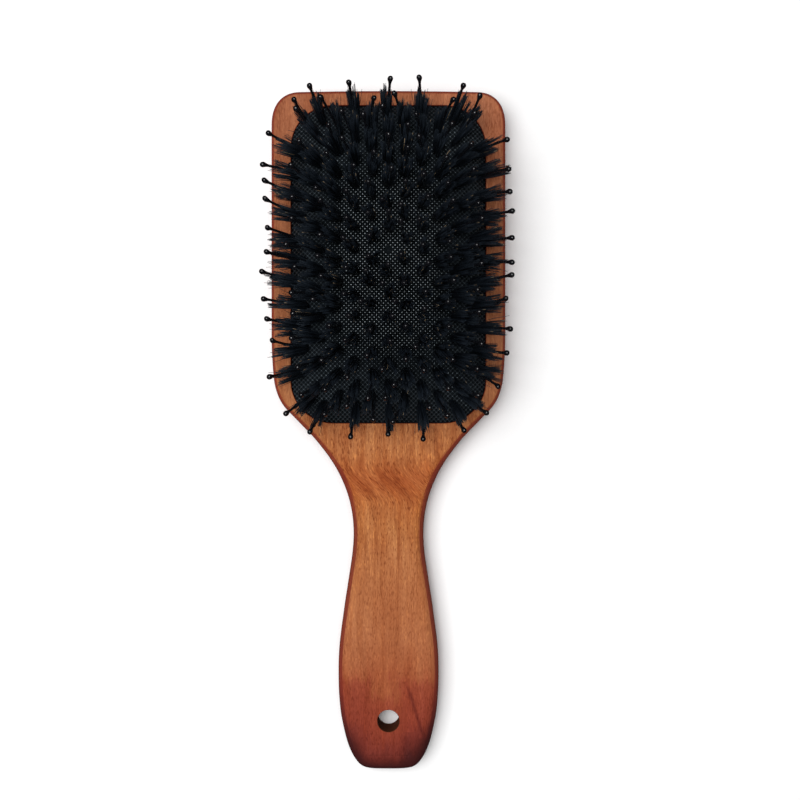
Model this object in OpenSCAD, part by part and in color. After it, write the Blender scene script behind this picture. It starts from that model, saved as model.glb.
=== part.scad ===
// Paddle hairbrush: a wooden paddle with a sprung, cloth-covered rubber cushion.
// The brush lies on its back with the bristles up. X is across, Y runs from the hanging hole
// towards the head, and Z is up. The origin is the hanging hole's centre on the back face.
// Each ring of tufts sinks with the cushion under it, so each ring is a group of its own.

/* [Paddle] */
// Width of the head
head_w = 85; // [83:0.5:90]
// Greatest width of the handle
handle_w = 36.6; // [32:0.2:40]
// Width at the narrowest point of the neck
neck_w = 25.6; // [22:0.2:30]
// Thickness of the head
paddle_t = 14; // [13.5:0.5:18]
// Thickness of the handle
handle_t = 12.8; // [12:0.2:13.4]
// Rounding of the edges around the head
head_edge_r = 1.6; // [0.8:0.1:2.4]
// Rounding of the edges along the handle
handle_edge_r = 4.2; // [2:0.1:5]
// Diameter of the hanging hole
hang_hole_d = 8; // [5:0.5:12]

/* [Cushion] */
// Width of the cushion where it comes out of the wood
cushion_w = 70; // [69:0.5:71]
// Length of the cushion where it comes out of the wood
cushion_l = 114.5; // [113:0.5:116]
// Radius of the cushion's corners
cushion_r = 15; // [12:0.5:20]
// Height of the cushion's crown above the wood
crown_h = 10; // [7:0.5:12]
// Thickness of the rubber
rubber_t = 2; // [1.6:0.1:2.4]
// Thickness of the woven cover
cover_t = 0.35; // [0.3:0.05:0.5]
// Depth of the pocket behind the cushion
pocket_d = 6; // [5:0.5:8]
// Diameter of the air hole in the crown
vent_d = 1.2; // [0.8:0.1:1.6]

/* [Bristles] */
// Spacing of the columns of tufts
column_pitch = 5.75; // [5.5:0.05:5.8]
// Spacing of the rows of tufts
row_pitch = 3.85; // [3.7:0.05:3.9]
// Length of a pin above the cover
pin_l = 22; // [20:0.5:24]
// Diameter of a pin
pin_d = 1; // [0.6:0.1:1]
// Diameter of the ball on a pin
ball_d = 2; // [1.4:0.1:2.2]
// Length of the bristles above the cover
tuft_l = 17; // [12:0.5:17]
// Width that a tuft spreads to
tuft_d = 4.8; // [3.6:0.1:4.8]
// How far the tufts lean out, as a multiple of the slope under them
lean = 1.5; // [1.2:0.05:1.6]

/* [Hidden] */
$fn = 32;
eps = 0.01;

// ---- Paddle outline ----
end_y = -18.5;
top_y = 229;
handle_x = handle_w / 2;
neck_x = neck_w / 2;
head_x = head_w / 2;
flare = head_x - neck_x;
straight_y = 138;
straight_steps = 4;
// Right flank of the paddle, from the end of the handle up to the straight side of the head
flank = [
    [0, end_y],
    [0.34 * handle_x, end_y + 0.15],
    [0.54 * handle_x, -17.3],
    [0.69 * handle_x, -14.2],
    [0.81 * handle_x, -9.5],
    [0.90 * handle_x, -3.3],
    [0.967 * handle_x, 3.8],
    [handle_x, 14],
    [0.985 * handle_x, 26.1],
    [0.89 * handle_x, 40.2],
    [neck_x + 1.7, 52],
    [neck_x + 0.35, 61.5],
    [neck_x, 69.1],
    [neck_x + 0.8, 76.7],
    [neck_x + 0.1 * flare, 84.6],
    [neck_x + 0.237 * flare, 93.1],
    [neck_x + 0.45 * flare, 101.8],
    [neck_x + 0.68 * flare, 109.1],
    [neck_x + 0.86 * flare, 114.9],
    [neck_x + 0.946 * flare, 120.5],
    [neck_x + 0.98 * flare, 127],
    [head_x, straight_y]
];
flank_steps = 3;
// Head corners are superellipses, and the top edge bows out a little between them
corner_w = 11;
corner_l = 12.6;
corner_power = 2.4;
corner_steps = 9;
top_bow = 0.35;
corner_x = head_x - corner_w;
corner_y = top_y - top_bow - corner_l;
// The front face steps down from the head's thickness to the handle's over this stretch
face_change = [77, 100];
// The edge rounding grows from the head's to the handle's over one stretch, and at the end over another
edge_change = [75, 125];
end_change = [-14, 20];
end_edge_r = min(5.4, 1.28 * handle_edge_r);
edge_steps = 4;

// ---- Cushion ----
cushion_y = 165.9;
half_w = cushion_w / 2;
half_l = cushion_l / 2;
dome_power = 3.2;
dome_fullness = 0.75;
rim_sink = 1.5;
rise = crown_h + rim_sink;
flange_w = 1.7;
flange_t = 1.8;
flange_step = 0.05;
pocket_gap = 0.3;
groove_gap = 0.15;
cover_gap = 0.02;
side_steps = 6;
arc_steps = 7;
end_steps = 4;
dome_rings = [1, 0.965, 0.93, 0.89, 0.84, 0.78, 0.7, 0.6, 0.45, 0.25];

// ---- Tufts ----
rows = 27;
columns = 11;
vent_row = 12;
mid_column = (columns - 1) / 2;
mid_row = (rows - 1) / 2;
// The four corner tufts stand a little off the grid
corner_tuft = [26.2, 46.9];
// Share of the full rise below which a tuft belongs to each ring, from the rim inwards
ring_limits = [0.50, 0.62, 0.79, 0.91, 0.96, 2];
root_r = 0.85;
hole_r = 0.95;
shaft_r = pin_d / 2;
bore_r = shaft_r + 0.05;
ball_r = ball_d / 2;
root_depth = 3.3;
// Above the cover the bristles spread quickly to a waist, then slowly to a shoulder near their ends
root_top = 0.4;
waist_z = 1.4;
waist_share = 0.3;
shoulder_drop = 1.2;
end_share = 0.42;
foot_r = 1.1;
foot_t = 0.5;
clip_depth = 2.95;
clip_r = 1.12;
clip_wire_r = 0.2;
clip_turn = 300;

// ---- Curves ----
function blend(a, b, c, d, s) =
    0.5 * (2 * b + (c - a) * s + (2 * a - 5 * b + 4 * c - d) * s * s
    + (3 * b - a - 3 * c + d) * s * s * s);
function curve(p, steps) = [
    for (i = [0 : len(p) - 2])
        let (before = i == 0 ? [-p[1][0], p[1][1]] : p[i - 1])
        let (after = i == len(p) - 2 ? [p[i + 1][0], 2 * p[i + 1][1] - p[i][1]] : p[i + 2])
        for (k = [0 : steps - 1])
            blend(before, p[i], p[i + 1], after, k / steps)
];
function power_cos(a) = pow(cos(a), 2 / corner_power);
function power_sin(a) = pow(sin(a), 2 / corner_power);
function side_half() = concat(
    curve(flank, flank_steps),
    [for (k = [0 : straight_steps - 1])
        [head_x, straight_y + (corner_y - straight_y) * k / straight_steps]],
    [for (k = [0 : corner_steps])
        let (a = 90 * k / corner_steps)
        [corner_x + corner_w * power_cos(a), corner_y + corner_l * power_sin(a)]],
    [for (k = [straight_steps - 1 : -1 : 1])
        let (x = corner_x * k / straight_steps)
        [x, top_y - top_bow * pow(x / corner_x, 2)]]
);
function outline() =
    let (h = side_half())
    concat(h, [[0, top_y]], [for (i = [len(h) - 1 : -1 : 1]) [-h[i][0], h[i][1]]]);
// Smooth change from 0 to 1 as y goes over a stretch
function ease(y, stretch) =
    let (s = min(1, max(0, (y - stretch[0]) / (stretch[1] - stretch[0]))))
    s * s * (3 - 2 * s);
function edge_r(y) =
    end_edge_r + (handle_edge_r - end_edge_r) * ease(y, end_change)
    + (head_edge_r - handle_edge_r) * ease(y, edge_change);
function face_z(y) = handle_t + (paddle_t - handle_t) * ease(y, face_change);
function normal(p, i) =
    let (n = len(p))
    let (d = p[(i + 1) % n] - p[(i + n - 1) % n])
    [d[1], -d[0]] / norm(d);

// Triangles across a ring of n points, from the first point n0 on. The ring is its own mirror image
// about a line through its first point, so each strip joins two points to their two images.
function cap(n, n0) = concat(
    [for (i = [0 : n / 2 - 2]) [n0 + i, n0 + i + 1, n0 + n - i - 1]],
    [for (i = [1 : n / 2 - 1]) [n0 + i, n0 + n - i - 1, n0 + n - i]]
);
// Closed solid from rings of equally many points, the first ring below and the last above.
// The first few bands can be cut along their other diagonal, to match the surface that they lie on.
module loft(rings, other_bands = 0) {
    n = len(rings[0]);
    last = len(rings) - 1;
    points = [for (r = rings) for (p = r) p];
    sides = [
        for (j = [0 : last - 1])
            for (i = [0 : n - 1])
                let (k = (i + 1) % n)
                let (a = j * n + i)
                let (b = j * n + k)
                let (c = (j + 1) * n + i)
                let (d = (j + 1) * n + k)
                for (f = j < other_bands ? [[a, c, b], [b, c, d]] : [[a, c, d], [a, d, b]])
                    f
    ];
    roof = [for (f = cap(n, last * n)) reversed(f)];
    polyhedron(points = points, faces = concat(sides, cap(n, 0), roof), convexity = 6);
}

// ---- Cushion surface ----
function dome_share(x, y) =
    let (u = min(1, abs(x) / half_w))
    let (v = min(1, abs(y) / half_l))
    pow((1 - pow(u, dome_power)) * (1 - pow(v, dome_power)), dome_fullness);
function dome_z(x, y) = paddle_t - rim_sink + rise * dome_share(x, y);
function slope_x(x, y) = (dome_z(x + 0.1, y) - dome_z(x - 0.1, y)) / 0.2;
function slope_y(x, y) = (dome_z(x, y + 0.1) - dome_z(x, y - 0.1)) / 0.2;

// Rounded rectangle around the cushion, grown outwards by d
function cushion_quarter(d) = concat(
    [for (k = [0 : side_steps - 1]) [half_w + d, (half_l - cushion_r) * k / side_steps]],
    [for (k = [0 : arc_steps])
        let (a = 90 * k / arc_steps)
        [half_w - cushion_r + (cushion_r + d) * cos(a), half_l - cushion_r + (cushion_r + d) * sin(a)]],
    [for (k = [end_steps - 1 : -1 : 1]) [(half_w - cushion_r) * k / end_steps, half_l + d]]
);
function cushion_ring(d) =
    let (q = cushion_quarter(d))
    let (n = len(q))
    concat(
        q,
        [[0, half_l + d]],
        [for (i = [n - 1 : -1 : 1]) [-q[i][0], q[i][1]]],
        [[-(half_w + d), 0]],
        [for (i = [1 : n - 1]) [-q[i][0], -q[i][1]]],
        [[0, -(half_l + d)]],
        [for (i = [n - 1 : -1 : 1]) [q[i][0], -q[i][1]]]
    );
// Rings that cover the dome from the rim to the crown, moved up by dz
function dome(dz) = [
    for (s = dome_rings)
        [for (p = cushion_ring(0)) [s * p[0], s * p[1], dome_z(s * p[0], s * p[1]) + dz]]
];
function flat_ring(d, z) = [for (p = cushion_ring(d)) [p[0], p[1], z]];
function reversed(v) = [for (i = [len(v) - 1 : -1 : 0]) v[i]];

// ---- Tuft positions ----
function is_corner(r, c) = (r == 1 || r == rows - 2) && (c == 0 || c == columns - 1);
function is_vent(r, c) = r == vent_row && c == mid_column;
function site(r, c) =
    is_corner(r, c)
        ? [sign(c - mid_column) * corner_tuft[0], sign(mid_row - r) * corner_tuft[1]]
        : [(c - mid_column) * column_pitch, (mid_row - r) * row_pitch];
function sites() = [
    for (r = [0 : rows - 1])
        for (c = [0 : columns - 1])
            if ((r + c) % 2 == 1 && !is_vent(r, c))
                site(r, c)
];
function ring_of(p) =
    let (share = dome_share(p[0], p[1]))
    [for (k = [0 : len(ring_limits) - 1]) if (share < ring_limits[k]) k][0];
vent_y = (mid_row - vent_row) * row_pitch;

// Puts its children on the cover at a tuft's position, standing along the tuft
module at_site(p) {
    sx = lean * slope_x(p[0], p[1]);
    sy = lean * slope_y(p[0], p[1]);
    tilt = atan(norm([sx, sy]));
    turn = atan2(-sy, -sx);
    surface = dome_z(p[0], p[1]) + cover_gap + cover_t;
    translate([p[0], cushion_y + p[1], surface])
        rotate([0, 0, turn])
            rotate([0, tilt, 0])
                children();
}
module in_ring(ring) {
    for (p = sites())
        if (ring_of(p) == ring)
            at_site(p)
                children();
}
module site_holes() {
    for (p = sites())
        at_site(p)
            translate([0, 0, -root_depth - 1])
                cylinder(r = hole_r, h = root_depth + 2.5);
    translate([0, cushion_y + vent_y, paddle_t])
        cylinder(d = vent_d, h = 2 * rise);
}

// ---- Sub-parts ----
module rounded_plate(d, h) {
    w = cushion_w + 2 * d;
    l = cushion_l + 2 * d;
    r = cushion_r + d;
    translate([0, cushion_y, 0])
        linear_extrude(h) {
            square([w - 2 * r, l], center = true);
            square([w, l - 2 * r], center = true);
            for (x = [-1, 1])
                for (y = [-1, 1])
                    translate([x * (w / 2 - r), y * (l / 2 - r)])
                        circle(r = r, $fn = 64);
        }
}

module paddle_body() {
    path = outline();
    angles = [for (k = [0 : edge_steps]) 90 * k / edge_steps];
    low_rings = [
        for (a = angles)
            [for (i = [0 : len(path) - 1])
                let (r = edge_r(path[i][1]))
                let (q = path[i] - normal(path, i) * r * (1 - sin(a)))
                [q[0], q[1], r * (1 - cos(a))]]
    ];
    high_rings = [for (ring = reversed(low_rings)) [for (p = ring) [p[0], p[1], face_z(p[1]) - p[2]]]];
    groove_low = paddle_t - rim_sink - flange_t - 2 * groove_gap;
    color("#a86240")
        difference() {
            loft(concat(low_rings, high_rings));
            translate([0, 0, paddle_t - pocket_d])
                rounded_plate(pocket_gap, pocket_d + 1);
            translate([0, 0, groove_low])
                rounded_plate(flange_w + pocket_gap, flange_t + 3 * groove_gap);
            translate([0, 0, -1])
                cylinder(d = hang_hole_d, h = paddle_t + 2, $fn = 64);
        }
}

module rubber_cushion() {
    flange_z = paddle_t - rim_sink;
    top = dome(0);
    under = dome(-rubber_t);
    flange = [
        flat_ring(flange_w, flange_z - flange_t),
        flat_ring(flange_w, flange_z),
        flat_ring(flange_step, flange_z)
    ];
    color("#17181b")
        translate([0, cushion_y, 0])
            difference() {
                loft(concat(reversed(under), flange, top));
                translate([0, -cushion_y, 0])
                    site_holes();
            }
}

module mesh_cover() {
    color("#15191c")
        difference() {
            translate([0, cushion_y, 0])
                loft(concat(reversed(dome(cover_gap)), dome(cover_gap + cover_t)), len(dome_rings) - 1);
            site_holes();
        }
}

module pins(ring) {
    neck = pin_l - 2.4 * ball_r;
    color("#101114")
        in_ring(ring)
            rotate_extrude()
                polygon(concat(
                    [[0, -root_depth - foot_t], [foot_r, -root_depth - foot_t], [foot_r, -root_depth],
                     [shaft_r, -root_depth], [shaft_r, neck]],
                    [for (a = [-45 : 30 : 75]) [ball_r * cos(a), pin_l - ball_r + ball_r * sin(a)]],
                    [[0, pin_l]]
                ));
}

module tufts(ring) {
    color("#0c0c0e")
        in_ring(ring)
            rotate_extrude()
                polygon([
                    [bore_r, -root_depth + eps], [root_r, -root_depth + eps], [root_r, root_top],
                    [waist_share * tuft_d, waist_z], [tuft_d / 2, tuft_l - shoulder_drop],
                    [end_share * tuft_d, tuft_l],
                    [bore_r, tuft_l]
                ]);
}

module staples(ring) {
    color("#b8bcc0")
        in_ring(ring)
            translate([0, 0, -clip_depth])
                rotate_extrude(angle = clip_turn)
                    translate([clip_r, 0])
                        circle(r = clip_wire_r, $fn = 16);
}

module pins_rim() pins(0);
module pins_outer() pins(1);
module pins_shoulder() pins(2);
module pins_inner() pins(3);
module pins_upper() pins(4);
module pins_crown() pins(5);
module tufts_rim() tufts(0);
module tufts_outer() tufts(1);
module tufts_shoulder() tufts(2);
module tufts_inner() tufts(3);
module tufts_upper() tufts(4);
module tufts_crown() tufts(5);
module staples_rim() staples(0);
module staples_outer() staples(1);
module staples_shoulder() staples(2);
module staples_inner() staples(3);
module staples_upper() staples(4);
module staples_crown() staples(5);

paddle_body();
rubber_cushion();
mesh_cover();
pins_rim();
pins_outer();
pins_shoulder();
pins_inner();
pins_upper();
pins_crown();
tufts_rim();
tufts_outer();
tufts_shoulder();
tufts_inner();
tufts_upper();
tufts_crown();
staples_rim();
staples_outer();
staples_shoulder();
staples_inner();
staples_upper();
staples_crown();
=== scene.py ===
"""Paddle hairbrush: a stained wooden paddle, a sprung rubber cushion under a woven cover,
ball-tipped pins and tufts of boar bristle. Lengths are millimetres until a mesh is made."""

import math

import bpy
import numpy as np
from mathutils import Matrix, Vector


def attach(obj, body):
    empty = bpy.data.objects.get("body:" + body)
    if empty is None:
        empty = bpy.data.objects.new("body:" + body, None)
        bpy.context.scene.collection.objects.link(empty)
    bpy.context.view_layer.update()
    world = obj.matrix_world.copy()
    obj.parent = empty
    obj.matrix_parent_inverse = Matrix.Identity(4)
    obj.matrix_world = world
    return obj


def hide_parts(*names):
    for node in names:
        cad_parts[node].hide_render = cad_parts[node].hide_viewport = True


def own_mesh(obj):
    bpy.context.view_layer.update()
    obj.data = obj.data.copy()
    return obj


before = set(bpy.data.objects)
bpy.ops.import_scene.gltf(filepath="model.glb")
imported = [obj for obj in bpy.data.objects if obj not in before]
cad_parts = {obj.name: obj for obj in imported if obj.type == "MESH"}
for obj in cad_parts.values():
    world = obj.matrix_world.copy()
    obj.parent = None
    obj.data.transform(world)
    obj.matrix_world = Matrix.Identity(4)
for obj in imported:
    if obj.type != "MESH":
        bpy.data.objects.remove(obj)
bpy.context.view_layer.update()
MM = 0.001
rng = np.random.default_rng(20567)

# ---------------------------------------------------------------- camera
CAMERA_AT = (4.2, 116.7, 484.0)
LENS = 58.35
cam = bpy.data.objects.new("camera", bpy.data.cameras.new("camera"))
cam.data.lens = LENS
cam.data.sensor_width = 36
cam.data.clip_start = 0.01
cam.location = [c * MM for c in CAMERA_AT]
bpy.context.scene.collection.objects.link(cam)
bpy.context.scene.camera = cam
bpy.context.scene.view_settings.view_transform = "Standard"

# ---------------------------------------------------------------- sizes shared with the CAD
HEAD_T, HANDLE_T = 14.0, 12.8
HEAD_X, HANDLE_X, NECK_X = 42.5, 18.3, 12.8
FLARE = HEAD_X - NECK_X
END_Y, TOP_Y = -18.5, 229.0
FACE_CHANGE, EDGE_CHANGE, END_CHANGE = (77, 100), (75, 125), (-14, 20)
HEAD_EDGE, HANDLE_EDGE = 1.6, 4.2
END_EDGE = 1.28 * HANDLE_EDGE
CORNER_W, CORNER_L, CORNER_POWER, TOP_BOW = 11.0, 12.6, 2.4, 0.35
HOLE_R = 4.0
CUSHION_Y = 165.9
HALF_W, HALF_L, CUSHION_R = 35.0, 57.25, 15.0
DOME_POWER, DOME_FULLNESS = 3.2, 0.75
RIM_Z, RISE = 12.5, 11.5
COVER_TOP = 0.37
RUBBER_T, COVER_GAP = 2.0, 0.02
FLANGE_W, FLANGE_T, FLANGE_STEP, POCKET_GAP, GROOVE_GAP = 1.7, 1.8, 0.05, 0.3, 0.15
POCKET_Z = 8.0
ROWS, COLUMNS, ROW_PITCH, COLUMN_PITCH = 27, 11, 3.85, 5.75
CORNER_TUFT = (26.2, 46.9)
VENT = (0.0, 3.85)
LEAN = 1.5
PIN_L, PIN_R, BALL_R, TUFT_L, TUFT_R = 22.0, 0.5, 1.0, 17.0, 2.4
# A tuft's ring goes by its share of the dome's rise
RING_LIMITS = (0.50, 0.62, 0.79, 0.91, 0.96, 2)
RINGS = ("rim", "outer", "shoulder", "inner", "upper", "crown")
# The paddle's right side, from the middle of the handle's end up to the head
FLANK = [
    (0, END_Y),
    (0.34 * HANDLE_X, END_Y + 0.15),
    (0.54 * HANDLE_X, -17.3),
    (0.69 * HANDLE_X, -14.2),
    (0.81 * HANDLE_X, -9.5),
    (0.90 * HANDLE_X, -3.3),
    (0.967 * HANDLE_X, 3.8),
    (HANDLE_X, 14),
    (0.985 * HANDLE_X, 26.1),
    (0.89 * HANDLE_X, 40.2),
    (NECK_X + 1.7, 52),
    (NECK_X + 0.35, 61.5),
    (NECK_X, 69.1),
    (NECK_X + 0.8, 76.7),
    (NECK_X + 0.1 * FLARE, 84.6),
    (NECK_X + 0.237 * FLARE, 93.1),
    (NECK_X + 0.45 * FLARE, 101.8),
    (NECK_X + 0.68 * FLARE, 109.1),
    (NECK_X + 0.86 * FLARE, 114.9),
    (NECK_X + 0.946 * FLARE, 120.5),
    (NECK_X + 0.98 * FLARE, 127),
    (HEAD_X, 138),
]


# ---------------------------------------------------------------- mesh helpers
def make_piece(name, verts, faces, materials=()):
    """A mesh object from points in millimetres."""
    mesh = bpy.data.meshes.new(name)
    mesh.from_pydata((np.asarray(verts, float) * MM).tolist(), [], faces)
    mesh.polygons.foreach_set("use_smooth", [True] * len(mesh.polygons))
    for m in materials:
        mesh.materials.append(m)
    mesh.update()
    obj = bpy.data.objects.new(name, mesh)
    bpy.context.scene.collection.objects.link(obj)
    return obj


def set_attribute(mesh, name, values):
    attribute = mesh.attributes.new(name, "FLOAT", "POINT")
    attribute.data.foreach_set("value", np.asarray(values, np.float32))


def loft(rings, first_cap=None, last_cap=None):
    """Side faces between rings of equally many points, and the caps given as faces on n points."""
    n, count = len(rings[0]), len(rings)
    verts = np.concatenate(rings)
    faces = []
    for j in range(count - 1):
        a = j * n
        for i in range(n):
            k = (i + 1) % n
            faces.append((a + i, a + k, a + n + k, a + n + i))
    if first_cap:
        faces += [tuple(f) for f in first_cap]
    if last_cap:
        top = (count - 1) * n
        faces += [tuple(top + v for v in reversed(f)) for f in last_cap]
    return verts, faces


def mirror_cap(n):
    """Strips across a ring whose point i mirrors point n - i."""
    faces = [(0, n - 1, 1)]
    for i in range(1, n // 2 - 1):
        faces.append((i, n - i, n - i - 1, i + 1))
    faces.append((n // 2 - 1, n // 2 + 1, n // 2))
    return faces


def ease(y, stretch):
    """Smooth step from 0 to 1 along a stretch."""
    s = np.clip((y - stretch[0]) / (stretch[1] - stretch[0]), 0, 1)
    return s * s * (3 - 2 * s)


def unit(v):
    return v / np.maximum(np.linalg.norm(v, axis=-1, keepdims=True), 1e-12)


# ---------------------------------------------------------------- paddle outline
def outline():
    """The paddle's outline, anticlockwise from the middle of the handle's end."""
    p = [(-FLANK[1][0], FLANK[1][1])] + FLANK
    p.append((FLANK[-1][0], 2 * FLANK[-1][1] - FLANK[-2][1]))
    p = np.array(p, float)
    steps = 7
    half = []
    for i in range(1, len(p) - 2):
        a, b, c, d = p[i - 1 : i + 3]
        for s in np.arange(steps) / steps:
            square = 2 * a - 5 * b + 4 * c - d
            cube = 3 * b - a - 3 * c + d
            half.append(0.5 * (2 * b + (c - a) * s + square * s**2 + cube * s**3))
    corner_y = TOP_Y - TOP_BOW - CORNER_L
    corner_x = HEAD_X - CORNER_W
    half += [(HEAD_X, y) for y in np.linspace(FLANK[-1][1], corner_y, 24, endpoint=False)]
    for a in np.radians(np.linspace(0, 90, 29)):
        x = corner_x + CORNER_W * max(0.0, math.cos(a)) ** (2 / CORNER_POWER)
        y = corner_y + CORNER_L * math.sin(a) ** (2 / CORNER_POWER)
        half.append((x, y))
    half += [(x, TOP_Y - TOP_BOW * (x / corner_x) ** 2) for x in np.linspace(corner_x, 0, 12)[1:-1]]
    half = np.array(half, float)
    left = half[:0:-1] * (-1, 1)
    return np.concatenate([half, [(0, TOP_Y)], left])


def edge_r(y):
    """Radius of the rounded edge along the board."""
    return (
        END_EDGE
        + (HANDLE_EDGE - END_EDGE) * ease(y, END_CHANGE)
        + (HEAD_EDGE - HANDLE_EDGE) * ease(y, EDGE_CHANGE)
    )


def face_z(y):
    return HANDLE_T + (HEAD_T - HANDLE_T) * ease(y, FACE_CHANGE)


def distance_to(points, ring):
    """Each point's distance in plan to a closed ring."""
    a, b = ring, np.roll(ring, -1, axis=0)
    d = b - a
    length2 = (d**2).sum(1)
    out = np.empty(len(points))
    for i in range(0, len(points), 4000):
        p = points[i : i + 4000, None, :]
        t = np.clip(((p - a) * d).sum(2) / length2, 0, 1)
        out[i : i + 4000] = np.sqrt(((a + d * t[..., None] - p) ** 2).sum(2)).min(1)
    return out


# ---------------------------------------------------------------- cushion surface
def dome_share(x, y):
    """Share of the dome's rise, from 0 at the rim to 1 at the crown."""
    u = np.minimum(1, np.abs(x) / HALF_W)
    v = np.minimum(1, np.abs(y) / HALF_L)
    return ((1 - u**DOME_POWER) * (1 - v**DOME_POWER)) ** DOME_FULLNESS


def dome_z(x, y):
    return RIM_Z + RISE * dome_share(x, y)


def dome_normal(x, y, lean=1.0):
    step = 0.1
    sx = (dome_z(x + step, y) - dome_z(x - step, y)) / (2 * step)
    sy = (dome_z(x, y + step) - dome_z(x, y - step)) / (2 * step)
    return unit(np.stack([-lean * sx, -lean * sy, np.ones_like(sx)], -1))


def cushion_ring(grow):
    """Rounded rectangle round the cushion, from its +X side, anticlockwise, about its own centre."""
    side, arc, end = 26, 18, 14
    x, y = HALF_W - CUSHION_R, HALF_L - CUSHION_R
    r = CUSHION_R + grow
    q = [(HALF_W + grow, y * k / side) for k in range(side)]
    q += [(x + r * math.cos(a), y + r * math.sin(a)) for a in np.radians(np.linspace(0, 90, arc + 1))]
    q += [(x * k / end, HALF_L + grow) for k in range(end - 1, 0, -1)]
    q = np.array(q)
    return np.concatenate(
        [
            q,
            [(0, HALF_L + grow)],
            q[:0:-1] * (-1, 1),
            [(-HALF_W - grow, 0)],
            q[1:] * (-1, -1),
            [(0, -HALF_L - grow)],
            q[:0:-1] * (1, -1),
        ]
    )


def flat_ring(grow, z):
    q = cushion_ring(grow)
    return np.column_stack([q[:, 0], q[:, 1] + CUSHION_Y, np.full(len(q), z)])


def sites():
    """Each tuft's place on the cushion, in plan about its centre, and its ring."""
    middle_row, middle_column = ROWS // 2, COLUMNS // 2
    found = []
    for r in range(ROWS):
        for c in range(COLUMNS):
            vent = r == middle_row - 1 and c == middle_column
            if (r + c) % 2 == 1 and not vent:
                x, y = (c - middle_column) * COLUMN_PITCH, (middle_row - r) * ROW_PITCH
                if r in (1, ROWS - 2) and c in (0, COLUMNS - 1):
                    x, y = math.copysign(CORNER_TUFT[0], x), math.copysign(CORNER_TUFT[1], y)
                share = float(dome_share(x, y))
                found.append((x, y, next(k for k, top in enumerate(RING_LIMITS) if share < top)))
    return np.array(found)


SITES = sites()


# ---------------------------------------------------------------- materials
def srgb(r, g, b):
    """Linear colour of an 8-bit screen colour."""
    c = np.array([r, g, b]) / 255
    c = np.where(c <= 0.04045, c / 12.92, ((c + 0.055) / 1.055) ** 2.4)
    return (*c.tolist(), 1.0)


class Nodes:
    """Short calls for building one material's nodes."""

    def __init__(self, name):
        self.material = bpy.data.materials.new(name)
        self.material.use_nodes = True
        self.tree = self.material.node_tree
        self.shader = self.tree.nodes["Principled BSDF"]
        place = self.tree.nodes.new("ShaderNodeTexCoord").outputs["Object"]
        self.place = self.vector("SCALE", place, scale=1 / MM)

    def put(self, socket, value):
        if isinstance(value, bpy.types.NodeSocket):
            self.tree.links.new(value, socket)
        elif value is not None:
            socket.default_value = value

    def math(self, operation, a, b=None):
        node = self.tree.nodes.new("ShaderNodeMath")
        node.operation = operation
        for socket, value in zip(node.inputs, (a, b)):
            self.put(socket, value)
        return node.outputs[0]

    def add(self, a, b):
        return self.math("ADD", a, b)

    def minus(self, a, b):
        return self.math("SUBTRACT", a, b)

    def times(self, a, b):
        return self.math("MULTIPLY", a, b)

    def swing(self, noise, amount):
        """A noise about its middle value, times an amount."""
        return self.times(self.minus(noise, 0.5), amount)

    def vector(self, operation, a, b=None, scale=None):
        node = self.tree.nodes.new("ShaderNodeVectorMath")
        node.operation = operation
        self.put(node.inputs[0], a)
        self.put(node.inputs[1], b)
        if scale is not None:
            self.put(node.inputs["Scale"], scale)
        return node.outputs["Value"] if operation == "LENGTH" else node.outputs[0]

    def split(self, v):
        node = self.tree.nodes.new("ShaderNodeSeparateXYZ")
        self.put(node.inputs[0], v)
        return node.outputs

    def join(self, x, y, z):
        node = self.tree.nodes.new("ShaderNodeCombineXYZ")
        for socket, value in zip(node.inputs, (x, y, z)):
            self.put(socket, value)
        return node.outputs[0]

    def noise(self, at, scale, detail, rough, stretch=None):
        if stretch:
            at = self.vector("MULTIPLY", at, stretch)
        node = self.tree.nodes.new("ShaderNodeTexNoise")
        self.put(node.inputs["Vector"], at)
        node.inputs["Scale"].default_value = scale
        node.inputs["Detail"].default_value = detail
        node.inputs["Roughness"].default_value = rough
        return node.outputs[0]

    def remap(self, value, low, high, to_low=0.0, to_high=1.0, smooth=True):
        node = self.tree.nodes.new("ShaderNodeMapRange")
        if smooth:
            node.interpolation_type = "SMOOTHSTEP"
        self.put(node.inputs["Value"], value)
        limits = {"From Min": low, "From Max": high, "To Min": to_low, "To Max": to_high}
        for socket, number in limits.items():
            self.put(node.inputs[socket], number)
        return node.outputs[0]

    def mix(self, share, a, b, kind="MIX"):
        node = self.tree.nodes.new("ShaderNodeMix")
        node.data_type = "RGBA"
        node.blend_type = kind
        self.put(node.inputs[0], share)
        self.put(node.inputs[6], a)
        self.put(node.inputs[7], b)
        return node.outputs[2]

    def attribute(self, name):
        node = self.tree.nodes.new("ShaderNodeAttribute")
        node.attribute_name = name
        return node.outputs["Fac"]

    def bump(self, height, distance, strength):
        node = self.tree.nodes.new("ShaderNodeBump")
        node.inputs["Strength"].default_value = strength
        node.inputs["Distance"].default_value = distance * MM
        self.put(node.inputs["Height"], height)
        self.put(self.shader.inputs["Normal"], node.outputs[0])

    def set(self, **values):
        for key, value in values.items():
            self.put(self.shader.inputs[key.replace("_", " ")], value)
        return self.material


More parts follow.
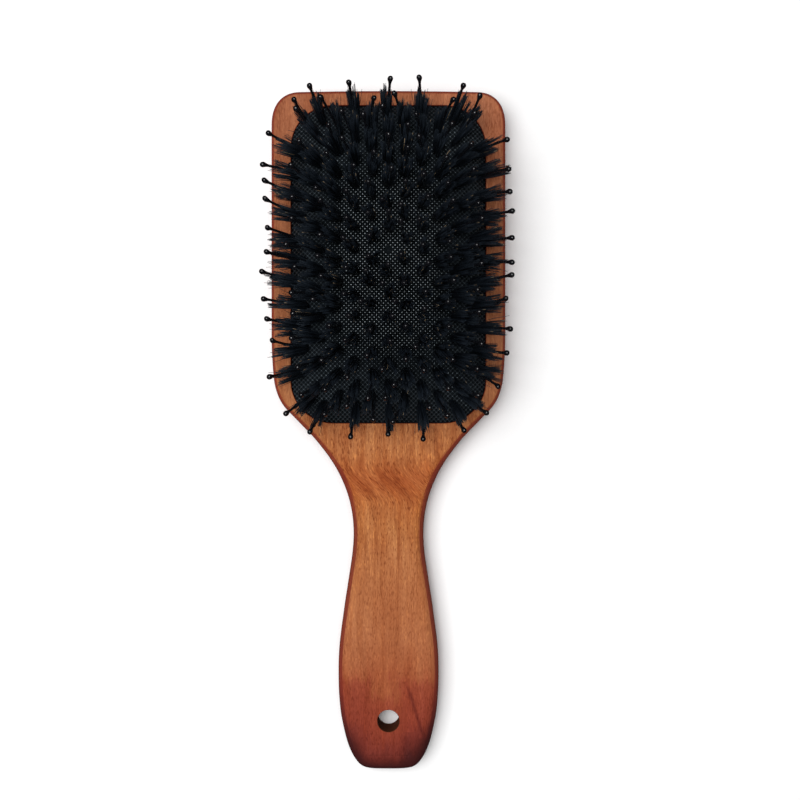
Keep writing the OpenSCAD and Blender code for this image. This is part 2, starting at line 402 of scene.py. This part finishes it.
# Stain along the board, as y in millimetres and the screen colour there
STAIN = [
    (-18.5, (66, 29, 28)),
    (-14.5, (78, 34, 33)),
    (-12, (93, 38, 33)),
    (-8.7, (113, 46, 37)),
    (-5, (124, 52, 41)),
    (0.4, (131, 57, 41)),
    (7.6, (137, 62, 43)),
    (13, (142, 68, 46)),
    (15.5, (154, 84, 53)),
    (20, (160, 93, 59)),
    (29, (164, 100, 64)),
    (46, (172, 109, 69)),
    (60, (175, 114, 71)),
    (72, (177, 115, 68)),
    (79, (172, 106, 60)),
    (84, (166, 95, 52)),
    (88, (162, 90, 49)),
    (92, (169, 100, 56)),
    (96.5, (174, 111, 66)),
    (104, (171, 110, 67)),
    (122, (164, 104, 67)),
    (230, (163, 101, 69)),
]


# Where the wood's looks change along the board, as y in millimetres
SLIP_Y, HEAD_Y, EDGE_Y = (94, 78), (105, 135), (60, 120)
FIGURE_START, FIGURE_END = (46, 70), (122, 104)
STREAK_AT, STREAK_SLANT = (7.1, 12.3), 0.31


def colour_ramp(m, along, stops):
    """Screen colours along a line, from (place, colour) pairs."""
    low, high = stops[0][0], stops[-1][0]
    ramp = m.tree.nodes.new("ShaderNodeValToRGB")
    m.put(ramp.inputs[0], m.remap(along, low, high, smooth=False))
    elements = ramp.color_ramp.elements
    for place, _ in stops[1:-1]:
        elements.new((place - low) / (high - low))
    for (_, colour), element in zip(stops, elements):
        element.color = srgb(*colour)
    return ramp.outputs[0]


def late_wood(m, x, z, place, slip):
    """Dark lines of growth layers round a pith below the board, bent by slow waves along it."""
    sway = m.noise(place, 1, 2, 0.5, stretch=(0.05, 0.011, 0.05))
    ripple = m.noise(place, 1, 2, 0.5, stretch=(0.16, 0.02, 0.1))
    bent_x = m.minus(m.add(x, m.swing(sway, 26)), slip)
    depth = m.add(m.times(z, 2.3), 9)
    ring = m.vector("LENGTH", m.join(m.add(bent_x, -5), depth, 0))
    ring = m.add(ring, m.swing(ripple, 7))
    wave = m.math("FRACT", m.math("DIVIDE", ring, 3.4))
    return m.times(m.remap(wave, 0.5, 0.95), m.remap(wave, 0.95, 1.0, 1.0, 0.0))


def mineral_streak(m, colour, x, y, uneven):
    """One dark streak near the hanging hole."""
    slant = m.times(m.minus(STREAK_AT[1], y), STREAK_SLANT)
    across = m.minus(m.minus(x, STREAK_AT[0]), slant)
    across = m.add(m.math("ABSOLUTE", across), m.times(uneven, 0.9))
    mark = m.times(m.remap(across, 1.7, 0.5), m.remap(y, 14, 9))
    mark = m.times(mark, m.remap(y, -9, -3))
    return m.mix(m.times(mark, 0.8), colour, (0.5, 0.4, 0.52, 1), "MULTIPLY")


def end_and_edge_darkening(m, colour, x, y, moved, fibre):
    """Darker stain round the handle's end, and a darker red on edges as they turn away from the face."""
    end = m.times(m.remap(m.attribute("rim"), 10, 1.5), m.remap(moved, 3, -10))
    colour = m.mix(m.times(end, 0.75), colour, srgb(62, 25, 24))
    geometry = m.tree.nodes.new("ShaderNodeNewGeometry")
    up = m.math("ABSOLUTE", m.split(geometry.outputs["True Normal"])[2])
    up = m.add(up, m.swing(fibre, 0.1))
    edge_colour = m.mix(m.remap(fibre, 0.3, 0.7), srgb(128, 44, 32), srgb(104, 36, 27))
    edge_colour = m.mix(m.remap(moved, 16, -10), edge_colour, srgb(66, 24, 24))
    # The hanging hole's wall is bare wood
    inside = m.remap(m.vector("LENGTH", m.join(x, y, 0)), HOLE_R + 0.35, HOLE_R + 0.1)
    edge_colour = m.mix(inside, edge_colour, srgb(98, 58, 38))
    start, full = m.remap(y, *EDGE_Y, 0.85, 0.99), m.remap(y, *EDGE_Y, 0.71, 0.87)
    return m.mix(m.times(m.remap(up, start, full), 0.86), colour, edge_colour)


def wood_material():
    m = Nodes("stained_wood")
    x, y, z = m.split(m.place)
    # Grain lines shift sideways where the face is cut down to the handle
    slip = m.times(m.remap(y, *SLIP_Y), 10)
    place = m.join(m.minus(x, slip), y, z)
    late = late_wood(m, x, z, place, slip)
    # Fibres, pores and light flecks run along the board
    fibre = m.noise(place, 1, 3, 0.6, stretch=(2.3, 0.11, 2.3))
    streak = m.noise(place, 1, 3, 0.55, stretch=(0.36, 0.02, 0.36))
    zone = m.swing(m.noise(place, 1, 2, 0.5, stretch=(0.22, 0.035, 0.22)), 0.3)
    pore = m.noise(place, 1, 1.5, 0.5, stretch=(2.9, 0.55, 2.9))
    pore = m.remap(m.add(pore, zone), 0.55, 0.68)
    fleck = m.noise(m.vector("ADD", place, (31, 7, 3)), 1, 1.5, 0.5, stretch=(2.5, 0.45, 2.5))
    fleck = m.remap(m.minus(fleck, zone), 0.55, 0.7)
    blotch = m.noise(m.place, 1, 3, 0.6, stretch=(0.06, 0.03, 0.06))
    # The stain's colour follows the board's length, with an uneven front
    uneven = m.noise(m.place, 1, 3, 0.62, stretch=(0.2, 0.06, 0.2))
    moved = m.add(m.add(y, m.swing(uneven, 12)), m.swing(fibre, 7))
    tongue = m.remap(m.math("ABSOLUTE", m.add(x, 1.5)), 9.5, 3)
    tongue = m.times(tongue, m.remap(y, 18, 7))
    moved = m.add(moved, m.times(tongue, 7))
    colour = colour_ramp(m, moved, STAIN)
    # The figure is strongest where the neck flares into the head
    figure = m.times(m.remap(y, *FIGURE_START), m.remap(y, *FIGURE_END))
    dark, red = (0.62, 0.47, 0.40, 1), (0.84, 0.70, 0.60, 1)
    grit = m.noise(place, 1, 1, 0.5, stretch=(1.9, 0.95, 1.9))
    head = m.remap(y, *HEAD_Y)
    tints = [
        (m.times(m.remap(streak, 0.34, 0.66), m.remap(figure, 0, 1, 0.5, 0.95)), red),
        (m.times(late, m.remap(figure, 0, 1, 0.22, 0.46)), dark),
        (m.times(m.remap(fibre, 0.4, 0.72), m.remap(figure, 0, 1, 0.42, 0.64)), dark),
        (m.times(m.remap(blotch, 0.42, 0.68), 0.4), red),
        (m.times(fleck, m.remap(figure, 0, 1, 0.6, 1.0)), (1.34, 1.44, 1.36, 1)),
        (m.times(pore, m.remap(figure, 0, 1, 0.5, 0.8)), (0.5, 0.36, 0.32, 1)),
        (m.times(m.remap(grit, 0.3, 0.7, smooth=False), 0.5), (0.74, 0.68, 0.64, 1)),
        (m.remap(figure, 0, 1, 0.8, 1.0), (1.16, 1.19, 1.22, 1)),
        # Painted light and shade on the head: darker on the left, where the key light falls, and lighter
        # on the right, in the tufts' shadow
        (m.times(head, m.remap(x, 0, -40)), (0.90, 0.90, 0.93, 1)),
        (m.times(head, m.remap(x, 0, 40)), (1.12, 1.16, 1.25, 1)),
    ]
    for share, tint in tints:
        colour = m.mix(share, colour, tint, "MULTIPLY")
    colour = mineral_streak(m, colour, x, y, uneven)
    colour = end_and_edge_darkening(m, colour, x, y, moved, fibre)

    m.bump(m.minus(m.times(fibre, 0.5), pore), 0.05, 0.5)
    return m.set(
        Base_Color=colour,
        Roughness=m.add(m.remap(fibre, 0.3, 0.7, 0.5, 0.62), m.times(pore, 0.1)),
        Specular_IOR_Level=0.1,
        Coat_Weight=0.03,
        Coat_Roughness=0.3,
    )


# Black pieces reflect a little more blue than red
COOL = (0.78, 0.92, 1.0, 1)


def rubber_material():
    m = Nodes("black_rubber")
    grain = m.noise(m.place, 2.2, 3, 0.6)
    patch = m.noise(m.place, 0.12, 2, 0.5)
    colour = m.mix(m.remap(patch, 0.3, 0.7), srgb(13, 17, 20), srgb(20, 24, 28))
    m.bump(grain, 0.04, 0.5)
    return m.set(
        Base_Color=colour,
        Roughness=m.remap(grain, 0.2, 0.8, 0.55, 0.75),
        Specular_Tint=COOL,
        Specular_IOR_Level=0.15,
    )


def cover_material():
    m = Nodes("woven_cover")
    strand = m.noise(m.place, 5.5, 2, 0.5)
    patch = m.noise(m.place, 0.09, 2, 0.5)
    crown = m.attribute("crown")
    knuckle = m.remap(m.attribute("knuckle"), 0.4, 0.9)
    middle = m.remap(crown, 0.6, 0.95)
    # Painted sheen: the cloth between the knuckles is lighter off the crown, where the dome's steep sides
    # catch the light, and near black on the crown
    ground = m.mix(m.remap(patch, 0.35, 0.7), srgb(33, 38, 42), srgb(46, 52, 57))
    ground = m.mix(middle, ground, srgb(4, 7, 9))
    # Painted highlights: the knuckle tops are lighter than the cloth, dimly on the dome's sides and
    # brightly on the crown, where they mirror the top light
    knuckle_sheen_off_crown = m.mix(m.remap(strand, 0.35, 0.7), srgb(55, 62, 67), srgb(76, 84, 90))
    knuckle_highlight_on_crown = m.mix(m.remap(strand, 0.35, 0.7), srgb(104, 112, 116), srgb(160, 165, 167))
    painted_knuckle_highlight = m.mix(m.remap(crown, 0.8, 1.0), knuckle_sheen_off_crown, knuckle_highlight_on_crown)
    colour = m.mix(m.times(knuckle, 0.9), ground, painted_knuckle_highlight)
    m.bump(strand, 0.03, 0.3)
    return m.set(
        Base_Color=colour,
        Roughness=m.remap(strand, 0.2, 0.8, 0.2, 0.34),
        Specular_IOR_Level=m.remap(knuckle, 0, 1, 0.05, 1.0),
        Specular_Tint=COOL,
        IOR=1.8,
    )


def pin_material():
    m = Nodes("pin_nylon")
    grain = m.noise(m.place, 1.6, 2, 0.5)
    colour = m.mix(grain, srgb(10, 11, 14), srgb(19, 19, 24))
    m.bump(grain, 0.02, 0.25)
    return m.set(
        Base_Color=colour,
        Roughness=m.remap(grain, 0.3, 0.7, 0.2, 0.3),
        Specular_IOR_Level=0.9,
        IOR=1.8,
    )


def bristle_material():
    m = Nodes("bristle")
    tip, shade = m.attribute("tip"), m.attribute("shade")
    # The hairs' own near-black, partly lifted and tinted blue as painted reflection of the studio light,
    # which they don't mirror
    black = m.mix(shade, srgb(15, 20, 26), srgb(34, 40, 48))
    brown = m.mix(m.remap(shade, 0.97, 1), srgb(74, 66, 56), srgb(150, 130, 102))
    flagged = m.times(m.remap(shade, 0.965, 0.98), m.remap(tip, 0.86, 0.98))
    light = m.remap(shade, 0.9975, 0.9985)
    colour = m.mix(m.math("MAXIMUM", flagged, light), black, brown)
    grain = m.noise(m.place, 3.5, 2, 0.5)
    m.bump(grain, 0.02, 0.3)
    return m.set(
        Base_Color=colour,
        Roughness=m.remap(grain, 0.3, 0.7, 0.3, 0.45),
        Specular_Tint=COOL,
        Specular_IOR_Level=0.4,
    )


def steel_material():
    m = Nodes("staple_wire")
    grain = m.noise(m.place, 6, 2, 0.5)
    colour = m.mix(grain, srgb(168, 170, 174), srgb(198, 200, 202))
    return m.set(Base_Color=colour, Metallic=1.0, Roughness=m.remap(grain, 0.3, 0.7, 0.25, 0.4))


def floor_material():
    m = Nodes("paper")
    grain = m.noise(m.place, 0.8, 2, 0.5)
    colour = m.mix(grain, (0.91, 0.91, 0.91, 1), (0.93, 0.93, 0.93, 1))
    return m.set(Base_Color=colour, Roughness=0.85, Specular_IOR_Level=0.1)


WOOD = wood_material()
RUBBER = rubber_material()
COVER = cover_material()
PIN = pin_material()
BRISTLE = bristle_material()
STEEL = steel_material()


# ---------------------------------------------------------------- paddle
def cut_away(obj, cutter):
    """Subtract one mesh object from another, and delete it."""
    cut = obj.modifiers.new("cut", "BOOLEAN")
    cut.operation = "DIFFERENCE"
    cut.solver = "EXACT"
    cut.object = cutter
    graph = bpy.context.evaluated_depsgraph_get()
    mesh = bpy.data.meshes.new_from_object(obj.evaluated_get(graph), depsgraph=graph)
    obj.modifiers.clear()
    obj.data = mesh
    bpy.data.objects.remove(cutter)


def make_paddle():
    path = outline()
    n = len(path)
    along = np.roll(path, -1, axis=0) - np.roll(path, 1, axis=0)
    out = unit(np.stack([along[:, 1], -along[:, 0]], -1))
    radius = edge_r(path[:, 1])
    angles = np.radians(np.linspace(0, 90, 10))
    low = [(radius + 0.5, 0 * radius)]
    low += [(radius * (1 - math.sin(a)), radius * (1 - math.cos(a))) for a in angles]
    rings = []
    for inset, rise in low:
        q = path - out * inset[:, None]
        rings.append(np.column_stack([q, rise]))
    for inset, rise in reversed(low):
        q = path - out * inset[:, None]
        rings.append(np.column_stack([q, face_z(q[:, 1]) - rise]))
    cap = mirror_cap(n)
    verts, faces = loft(rings, cap, cap)
    paddle = make_piece("paddle_wood", verts, faces, [WOOD])

    groove_low = RIM_Z - FLANGE_T - 2 * GROOVE_GAP
    groove_high = RIM_Z + GROOVE_GAP
    wide = FLANGE_W + POCKET_GAP
    levels = [
        (POCKET_GAP, POCKET_Z),
        (POCKET_GAP, groove_low),
        (wide, groove_low),
        (wide, groove_high),
        (POCKET_GAP, groove_high),
        (POCKET_GAP, HEAD_T - 0.35),
        (POCKET_GAP + 0.06, HEAD_T - 0.17),
        (POCKET_GAP + 0.2, HEAD_T - 0.04),
        (POCKET_GAP + 0.4, HEAD_T + 0.02),
        (POCKET_GAP + 0.4, HEAD_T + 2),
    ]
    rings = [flat_ring(*level) for level in levels]
    lid = [tuple(reversed(range(len(rings[0]))))]
    verts, faces = loft(rings, lid, lid)
    cut_away(paddle, make_piece("pocket_cutter", verts, faces))

    # The hanging hole, with its rims rounded by a small radius
    mouth = 0.25
    profile = [(HOLE_R + 1.5, -1.0), (HOLE_R + 1.5, -0.6)]
    for a in np.radians([75, 50, 25, 0]):
        profile.append((HOLE_R + mouth * (1 - math.cos(a)), mouth * (1 - math.sin(a))))
    for a in np.radians([0, 25, 50, 75]):
        profile.append((HOLE_R + mouth * (1 - math.cos(a)), HANDLE_T - mouth * (1 - math.sin(a))))
    profile += [(HOLE_R + 1.5, HANDLE_T + 0.6), (HOLE_R + 1.5, HANDLE_T + 1)]
    sides = 64
    turn = np.linspace(0, 2 * math.pi, sides, endpoint=False)
    rings = [np.column_stack([r * np.cos(turn), r * np.sin(turn), np.full(sides, z)]) for r, z in profile]
    lid = [tuple(reversed(range(sides)))]
    verts, faces = loft(rings, lid, lid)
    cut_away(paddle, make_piece("hole_cutter", verts, faces))

    co = np.array([v.co for v in paddle.data.vertices]) / MM
    set_attribute(paddle.data, "rim", distance_to(co[:, :2], path))
    paddle.data.polygons.foreach_set("use_smooth", [True] * len(paddle.data.polygons))
    paddle.data.set_sharp_from_angle(angle=math.radians(33))
    weighted = paddle.modifiers.new("weighted", "WEIGHTED_NORMAL")
    weighted.keep_sharp = True
    weighted.weight = 60
    return paddle


paddle = make_paddle()
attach(paddle, "paddle")
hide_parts("paddle_body")


# ---------------------------------------------------------------- cushion
def dome_rings(lift):
    shares = [1, 0.995, 0.987, 0.975, 0.96, 0.94, 0.915, 0.885]
    shares += [0.85, 0.8, 0.74, 0.66, 0.56, 0.44, 0.3, 0.15]
    base = cushion_ring(0)
    rings = []
    for s in shares:
        q = base * s
        rings.append(np.column_stack([q[:, 0], q[:, 1] + CUSHION_Y, dome_z(q[:, 0], q[:, 1]) + lift]))
    return rings


def make_cushion():
    rings = dome_rings(-RUBBER_T)[::-1]
    rings += [flat_ring(FLANGE_W, RIM_Z - FLANGE_T), flat_ring(FLANGE_W, RIM_Z)]
    rings += [flat_ring(FLANGE_STEP, RIM_Z)]
    rings += dome_rings(-COVER_GAP)
    n = len(rings[0])
    verts, faces = loft(rings)
    # Fans close the crown, above and below
    total = len(verts)
    crown = dome_z(0, 0)
    tops = [(0, CUSHION_Y, crown - RUBBER_T), (0, CUSHION_Y, crown - COVER_GAP)]
    verts = np.concatenate([verts, tops])
    top = (len(rings) - 1) * n
    for i in range(n):
        k = (i + 1) % n
        faces.append((total, k, i))
        faces.append((total + 1, top + i, top + k))
    return make_piece("cushion_rubber", verts, faces, [RUBBER])


def make_air_hole():
    """Rubber eyelet that stands through the cover round the air hole."""
    inside = [(0.6, -1.2), (0.6, 0.34), (0.7, 0.5)]
    outside = [(0.95, 0.52), (1.15, 0.4), (1.25, 0.1), (1.25, -1.2)]
    sides = 28
    turn = np.linspace(0, 2 * math.pi, sides, endpoint=False)
    z0 = float(dome_z(*VENT))
    rings = []
    for r, z in inside + outside:
        x = VENT[0] + r * np.cos(turn)
        y = VENT[1] + CUSHION_Y + r * np.sin(turn)
        rings.append(np.column_stack([x, y, np.full(sides, z0 + z)]))
    rings.append(rings[0])
    verts, faces = loft(rings)
    return make_piece("air_hole_eyelet", verts, [f[::-1] for f in faces], [RUBBER])


cushion = make_cushion()
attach(cushion, "paddle")
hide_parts("rubber_cushion")
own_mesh(cushion)
eyelet = make_air_hole()
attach(eyelet, "paddle")
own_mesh(eyelet)


# ---------------------------------------------------------------- woven cover
def stretches(keep):
    """First and last places of each unbroken stretch that is kept."""
    turns = np.flatnonzero(np.diff(np.concatenate([[0], keep.astype(int), [0]])))
    return (turns.reshape(-1, 2) - (0, 1)).tolist()


def thread_tube(run, rise, half, thick, mid):
    """Four corners at each station of a thread on the dome."""
    x, y = run[:, 0], run[:, 1]
    up = dome_normal(x, y)
    centre = np.column_stack([x, y + CUSHION_Y, dome_z(x, y)]) + up * (mid + rise)[:, None]
    tangent = unit(np.gradient(centre, axis=0))
    side = unit(np.cross(up, tangent))
    normal = np.cross(tangent, side) * thick / 2
    side = side * half[:, None]
    corners = [side - normal, 0.55 * side + normal, normal - 0.55 * side, -side - normal]
    return np.stack([centre + c for c in corners], 1).reshape(-1, 3)


def thread_faces(start, count):
    """Faces of a four-cornered tube of count stations, whose first point is start."""
    faces = []
    for p in range(count - 1):
        b = start + 4 * p
        for c in range(4):
            d = (c + 1) % 4
            faces.append((b + c, b + 4 + c, b + 4 + d, b + d))
    last = start + 4 * (count - 1)
    return faces + [(start, start + 1, start + 2, start + 3), (last + 3, last + 2, last + 1, last)]


def make_cover():
    """Threads at 45 degrees, each over one crossing thread and under the next."""
    pitch, width, thick, wave = 1.165, 0.66, 0.18, 0.12
    shoulder = 0.37
    tuft_hole_r, vent_hole_r = 0.8, 1.15
    shortest_end = 0.15
    middle = np.array([False, True, False])
    upper_corners = np.array([False, True, True, False])
    mid = COVER_TOP - thick / 2 - wave
    verts, faces, knuckle = [], [], []
    start = 0
    reach = int(math.hypot(HALF_W, HALF_L) / pitch) + 1
    crossing = np.arange(-reach, reach + 1)
    holes = np.concatenate([SITES[:, :2], [VENT]])
    hole_r = np.append(np.full(len(SITES), tuft_hole_r), vent_hole_r)
    for turn in (0, 1):
        a = math.radians(45 + 90 * turn)
        along, across = np.array([math.cos(a), math.sin(a)]), np.array([-math.sin(a), math.cos(a)])
        for k in range(-reach, reach + 1):
            # Three stations where the thread passes over, one where it passes under
            over = ((crossing + k + turn) % 2 == 0)[:, None]
            used = (over | middle).reshape(-1)
            at = (crossing[:, None] + np.array([-shoulder, 0, shoulder])).reshape(-1)[used]
            top = (over & middle).reshape(-1)[used]
            lift = np.where(over, [-0.3, 1, -0.3], [0, -1, 0]).reshape(-1)[used] * wave
            broad = np.where(over, [0.8, 1, 0.8], [0, 0.8, 0]).reshape(-1)[used] * width / 2
            flat = across * (k * pitch) + along * (at * pitch)[:, None]
            q = np.abs(flat) - (HALF_W - CUSHION_R, HALF_L - CUSHION_R)
            edge = np.hypot(*np.maximum(q, 0).T) + np.minimum(q.max(1), 0) - CUSHION_R
            clear = (np.hypot(*(flat[:, None] - holes).transpose(2, 0, 1)) > hole_r).all(1)
            for i, j in stretches((edge < 0) & clear):
                run, rise = flat[i : j + 1], lift[i : j + 1]
                half, peak = broad[i : j + 1], top[i : j + 1]
                # A thread that meets the rim ends on it
                for end, inner in ((i - 1, i), (j + 1, j)):
                    if 0 <= end < len(at) and edge[end] >= 0 and clear[end]:
                        share = edge[inner] / (edge[inner] - edge[end])
                        if share < shortest_end:
                            continue
                        point = flat[inner] + (flat[end] - flat[inner]) * share * 0.995
                        where = 0 if end < i else len(run)
                        run = np.insert(run, where, point, axis=0)
                        rise, peak = np.insert(rise, where, 0), np.insert(peak, where, False)
                        half = np.insert(half, where, width * 0.4)
                count = len(run)
                if count < 2:
                    continue
                verts.append(thread_tube(run, rise, half, thick, mid))
                knuckle.append((peak[:, None] & upper_corners).reshape(-1))
                faces += thread_faces(start, count)
                start += 4 * count
    points = np.concatenate(verts)
    piece = make_piece("cover_weave", points, faces, [COVER])
    set_attribute(piece.data, "knuckle", np.concatenate(knuckle))
    set_attribute(piece.data, "crown", dome_share(points[:, 0], points[:, 1] - CUSHION_Y))
    return piece


cover = make_cover()
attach(cover, "paddle")
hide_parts("mesh_cover")
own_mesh(cover)


# ---------------------------------------------------------------- pins and tufts
def site_frames(ring):
    """Roots, directions and two cross directions of a ring's tufts."""
    chosen = SITES[SITES[:, 2] == ring]
    x, y = chosen[:, 0], chosen[:, 1]
    root = np.column_stack([x, y + CUSHION_Y, dome_z(x, y) + COVER_TOP])
    axis = dome_normal(x, y, LEAN)
    side = unit(np.cross(axis, np.broadcast_to((0.0, 1.0, 0.0), axis.shape)))
    return root, axis, side, np.cross(axis, side)


def disc(n):
    """Random points in a disc of radius 1."""
    a = rng.uniform(0, 2 * math.pi, n)
    r = rng.uniform(0, 1, n) ** 0.5
    return r * np.cos(a), r * np.sin(a)


def tubes(centres, radii, e1, e2, sides):
    """Closed tubes of (count, stations) centres, each with its own cross directions."""
    count, stations = centres.shape[:2]
    turn = np.linspace(0, 2 * math.pi, sides, endpoint=False)
    spread = np.cos(turn)[None, :, None] * e1[:, None, :] + np.sin(turn)[None, :, None] * e2[:, None, :]
    verts = centres[:, :, None, :] + radii[:, :, None, None] * spread[:, None]
    base = np.arange(count)[:, None, None] * stations * sides
    row = np.arange(stations - 1)[None, :, None] * sides
    i = np.arange(sides)[None, None, :]
    k = (i + 1) % sides
    a, b = base + row + i, base + row + k
    quads = np.stack([a, b, b + sides, a + sides], -1).reshape(-1, 4)
    ends = []
    for c in range(count):
        s = c * stations * sides
        ends.append(tuple(range(s + sides - 1, s - 1, -1)))
        s += (stations - 1) * sides
        ends.append(tuple(range(s, s + sides)))
    return verts.reshape(-1, 3), [tuple(q) for q in quads.tolist()] + ends


# A pin's radius by its distance from the cover, from the foot behind the rubber to the ball
PIN_PROFILE = [
    (-3.8, 1.1),
    (-3.3, 1.1),
    (-3.25, PIN_R + 0.02),
    (3.0, PIN_R),
    (7.0, PIN_R - 0.01),
    (11.0, PIN_R - 0.02),
    (15.0, PIN_R - 0.03),
    (PIN_L - 3.4, PIN_R - 0.03),
    (PIN_L - 2.6, 0.60 * BALL_R),
    (PIN_L - 1.9, 0.82 * BALL_R),
    (PIN_L - 1.35, 0.97 * BALL_R),
    (PIN_L - 0.9, BALL_R),
    (PIN_L - 0.45, 0.84 * BALL_R),
    (PIN_L - 0.14, 0.5 * BALL_R),
    (PIN_L, 0.12),
]


# Pins left of WORN_X and above WORN_Y are worn towards the top of the head, and the rest to the left.
# The leans are the tip's shifts in x and y.
WORN_X, WORN_Y = -27, CUSHION_Y - 32
WORN_LEAN, PLAIN_LEAN = (0.5, 2.6), (-0.6, 0.0)


def make_pins(ring):
    root, axis, side, cross = site_frames(ring)
    n = len(root)
    s = np.array([p[0] for p in PIN_PROFILE])
    r = np.array([p[1] for p in PIN_PROFILE])
    above = np.maximum(s, 0) / PIN_L
    tilt = np.clip(rng.normal(0, 1.2, (n, 2)), -2.2, 2.2)
    bend = np.clip(rng.normal(0, 0.9, (n, 2)), -1.6, 1.6)
    length = 1 + rng.normal(0, 0.012, n)
    offset = tilt[:, None] * above[None, :, None] + bend[:, None] * (above**2.4)[None, :, None]
    centre = root[:, None] + axis[:, None] * (s[None, :] * length[:, None])[..., None]
    centre = centre + offset[..., :1] * side[:, None] + offset[..., 1:] * cross[:, None]
    worn = ((root[:, 0] < WORN_X) & (root[:, 1] > WORN_Y))[:, None]
    for i in (0, 1):
        centre[..., i] += np.where(worn, WORN_LEAN[i], PLAIN_LEAN[i]) * above
    verts, faces = tubes(centre, np.broadcast_to(r, (n, len(r))), side, cross, 10)
    return make_piece("pins_" + RINGS[ring] + "_nylon", verts, faces, [PIN])


HAIRS, CLUMPS = 150, 12
GOLDEN_TURN = 2.4
FOOT_R = 0.62
FLANK_X, FAR_END_Y = 14, 40


def make_tufts(ring):
    root, axis, side, cross = site_frames(ring)
    n = len(root)
    # The bound root of each bundle, under the cover
    s = np.array([-3.3, -3.2, -2.8, 0.2, 0.9])
    r = np.array([0.55, 0.7, 0.85, 0.82, 0.6])
    centre = root[:, None] + axis[:, None] * s[None, :, None]
    verts, faces = tubes(centre, np.broadcast_to(r, (n, len(r))), side, cross, 8)
    tip, shade = np.zeros(len(verts)), np.full(len(verts), 0.1)
    # Clumps fill each tuft's end evenly, and every hair leans to the middle of its clump
    order = np.arange(CLUMPS) + rng.uniform(0, 1, (n, CLUMPS))
    angle = order * GOLDEN_TURN + rng.uniform(0, 6.28, (n, 1))
    far = np.sqrt(order / CLUMPS)
    clump = np.stack([far * np.cos(angle), far * np.sin(angle)], -1)
    clump_length = rng.uniform(0.8, 1.04, (n, CLUMPS))
    # Single hairs, spread as they leave the root
    m = n * HAIRS
    which = np.repeat(np.arange(n), HAIRS)
    own = rng.integers(0, CLUMPS, m)
    lean = rng.normal(0, 0.6, (n, 2))[which]
    # Tufts along both sides are worn wide, and those in the corners are narrow
    flank, far_end = np.abs(root[:, 0]) > FLANK_X, np.abs(root[:, 1] - CUSHION_Y) > FAR_END_Y
    splay = np.where(flank, np.where(far_end, 0.85, 1.3), np.where(far_end, 0.95, 1.05))
    width = (rng.uniform(0.85, 1.15, n) * splay)[which] * TUFT_R
    scatter = np.column_stack(disc(m))
    middle = clump[which, own]
    foot = FOOT_R * (0.75 * middle + 0.4 * scatter)
    waist = foot + (0.48 * middle + 0.26 * scatter) * (width - FOOT_R)[:, None]
    wild = (rng.uniform(size=m) < 0.07)[:, None]
    stray = rng.normal(0, 1, (m, 2)) * np.where(wild, 1.5, 0.14)
    end = (1.05 * middle + 0.19 * scatter) * width[:, None] + lean + stray
    length = TUFT_L * clump_length[which, own] * rng.uniform(0.93, 1.02, m)
    length = length * np.where(rng.uniform(size=m) < 0.04, 1.07, 1.0)
    t = np.array([0, 0.14, 0.6, 1.0])
    between = waist + (end - waist) * 0.6 + rng.normal(0, 0.12, (m, 2))
    flat = np.stack([foot, waist + lean * 0.1, between, end], 1)
    centre = root[which, None] + axis[which, None] * (t[None] * length[:, None])[..., None]
    centre = centre + flat[..., :1] * side[which, None] + flat[..., 1:] * cross[which, None]
    thick = rng.uniform(0.1, 0.135, m)
    radii = thick[:, None] * np.array([1.0, 1.0, 1.0, 0.6])[None]
    way = unit(centre[:, -1] - centre[:, 0])
    e1 = unit(np.cross(way, np.broadcast_to((0.0, 1.0, 0.0), way.shape)))
    e2 = np.cross(way, e1)
    hair_verts, hair_faces = tubes(centre, radii, e1, e2, 3)
    first = len(verts)
    faces += [tuple(first + v for v in f) for f in hair_faces]
    verts = np.concatenate([verts, hair_verts])
    tip = np.append(tip, np.broadcast_to(t[None, :, None], (m, len(t), 3)).reshape(-1))
    shade = np.append(shade, np.repeat(rng.uniform(0, 1, m), len(t) * 3))
    piece = make_piece("tufts_" + RINGS[ring] + "_bristle", verts, faces, [BRISTLE])
    set_attribute(piece.data, "tip", tip)
    set_attribute(piece.data, "shade", shade)
    return piece


for ring, ring_name in enumerate(RINGS):
    body = ring_name + "_ring"
    for piece, node, slot in (
        (make_pins(ring), "pins_" + ring_name, "pin_nylon"),
        (make_tufts(ring), "tufts_" + ring_name, "bristle"),
    ):
        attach(piece, body)
        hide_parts(node)
    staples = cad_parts["staples_" + ring_name]
    for s in staples.material_slots:
        s.material = STEEL

# ---------------------------------------------------------------- floor and light
FLOOR_HALF, FLOOR_Z = 3000, -0.1
FLOOR_CORNERS = ((-1, -1), (1, -1), (1, 1), (-1, 1))
floor = make_piece(
    "floor",
    [(x * FLOOR_HALF, y * FLOOR_HALF, FLOOR_Z) for x, y in FLOOR_CORNERS],
    [(0, 1, 2, 3)],
    [floor_material()],
)
# Black pieces mirror only the top light, so they stay as dark as in the photo
floor.visible_glossy = False


def area_light(name, at, target, size, power):
    """Square lamp at a place in metres, aimed at another."""
    lamp = bpy.data.lights.new(name, "AREA")
    lamp.size = size
    lamp.energy = power
    obj = bpy.data.objects.new(name, lamp)
    bpy.context.scene.collection.objects.link(obj)
    obj.location = at
    way = Vector(target) - Vector(at)
    obj.rotation_euler = way.to_track_quat("-Z", "Y").to_euler()
    return obj


key = area_light("key", (-0.40, 0.16, 1.25), (0, 0.1, 0), size=0.85, power=14.6)
key.visible_glossy = False
area_light("top", (-0.03, 0.40, 2.1), (0, 0.16, 0), size=1.1, power=12)
world = bpy.data.worlds.new("studio")
bpy.context.scene.world = world
world.use_nodes = True
world.cycles_visibility.glossy = False
background = world.node_tree.nodes["Background"]
background.inputs["Color"].default_value = (1, 1, 1, 1)
background.inputs["Strength"].default_value = 0.24
